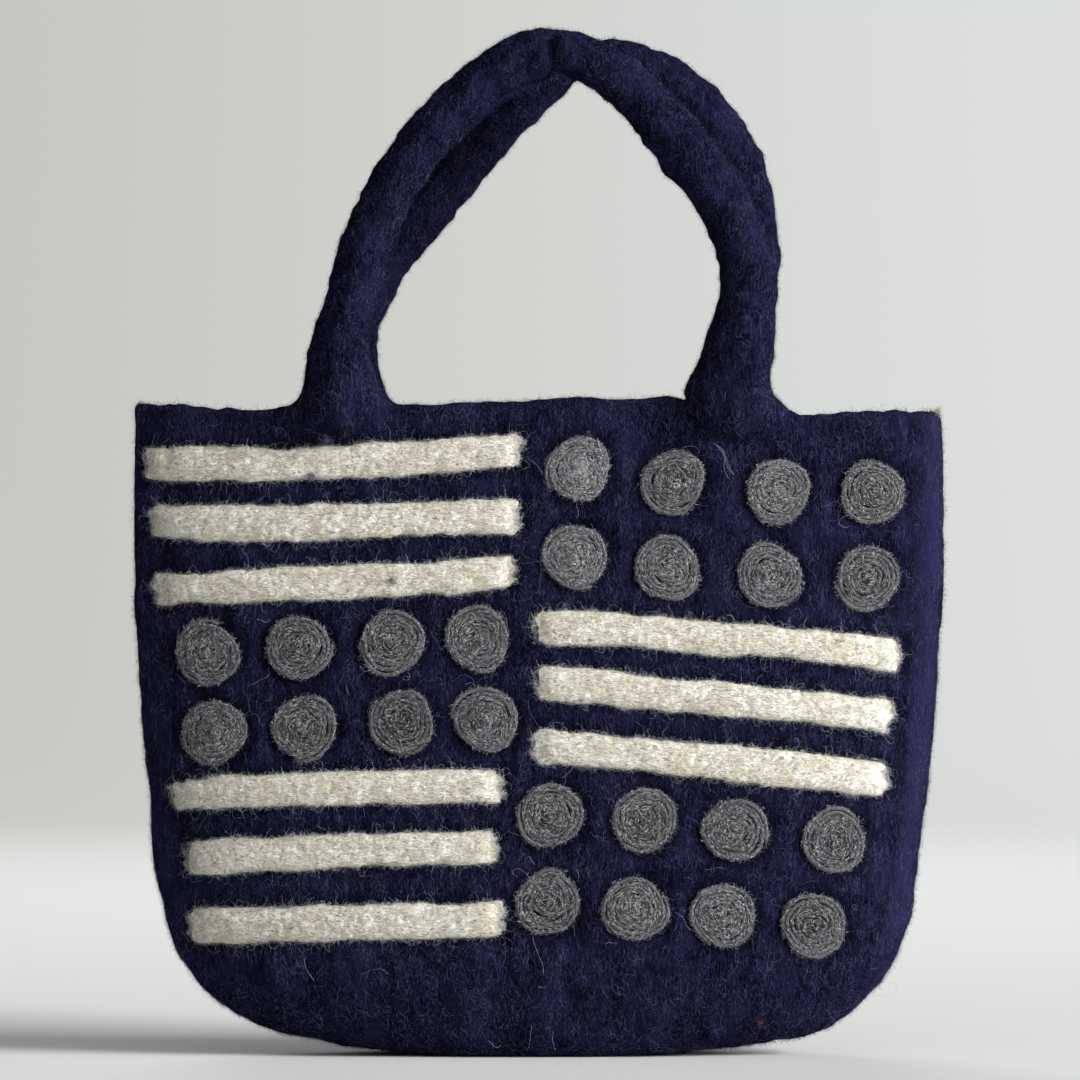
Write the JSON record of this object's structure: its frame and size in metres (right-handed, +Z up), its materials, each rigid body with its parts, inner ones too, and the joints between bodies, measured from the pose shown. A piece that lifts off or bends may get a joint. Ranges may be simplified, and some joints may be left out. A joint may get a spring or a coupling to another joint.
{
  "type": "knitting bag",
  "caption": "Seamless felted wool tote for carrying knitting, open at the top, with rolled rope handles and a face trimmed with wool bars and coiled yarn discs.",
  "frame": {"origin": "on the surface the bag stands on, under the middle of the bag's width and depth", "axes": "+Z up through the mouth to the handles, -Y out of the decorated face, +X to the right of a viewer who faces that face"},
  "size_m": [0.34, 0.079, 0.4312],
  "materials": {
    "navy_felt": "wet-felted wool, matt and hairy",
    "cream_wool": "needle-felted undyed wool, mottled, matt",
    "grey_yarn": "coiled heather grey woollen yarn, matt and hairy"
  },
  "bodies": {
    "pouch": {"felt_body": "navy_felt", "upper_left_bar_1": "cream_wool", "upper_left_bar_2": "cream_wool", "upper_left_bar_3": "cream_wool", "right_bar_1": "cream_wool", "right_bar_2": "cream_wool", "right_bar_3": "cream_wool", "lower_left_bar_1": "cream_wool", "lower_left_bar_2": "cream_wool", "lower_left_bar_3": "cream_wool", "upper_right_coil_1": "grey_yarn", "upper_right_coil_2": "grey_yarn", "upper_right_coil_3": "grey_yarn", "upper_right_coil_4": "grey_yarn", "upper_right_coil_5": "grey_yarn", "upper_right_coil_6": "grey_yarn", "upper_right_coil_7": "grey_yarn", "upper_right_coil_8": "grey_yarn", "middle_left_coil_1": "grey_yarn", "middle_left_coil_2": "grey_yarn", "middle_left_coil_3": "grey_yarn", "middle_left_coil_4": "grey_yarn", "middle_left_coil_5": "grey_yarn", "middle_left_coil_6": "grey_yarn", "middle_left_coil_7": "grey_yarn", "middle_left_coil_8": "grey_yarn", "lower_right_coil_1": "grey_yarn", "lower_right_coil_2": "grey_yarn", "lower_right_coil_3": "grey_yarn", "lower_right_coil_4": "grey_yarn", "lower_right_coil_5": "grey_yarn", "lower_right_coil_6": "grey_yarn", "lower_right_coil_7": "grey_yarn", "lower_right_coil_8": "grey_yarn"},
    "front_handle": {"front_handle": "navy_felt"},
    "rear_handle": {"rear_handle": "navy_felt"}
  },
  "joints": [
    {"name": "front_handle_swing", "type": "hinge", "parent": "pouch", "child": "front_handle", "pos_m": [0, -0.0215, 0.2865], "axis": [1, 0, 0], "range_deg": [-4, 100], "stiffness_Nm_per_rad": 0.25},
    {"name": "rear_handle_swing", "type": "hinge", "parent": "pouch", "child": "rear_handle", "pos_m": [0, 0.0235, 0.2865], "axis": [-1, 0, 0], "range_deg": [-4, 100], "stiffness_Nm_per_rad": 0.25}
  ]
}
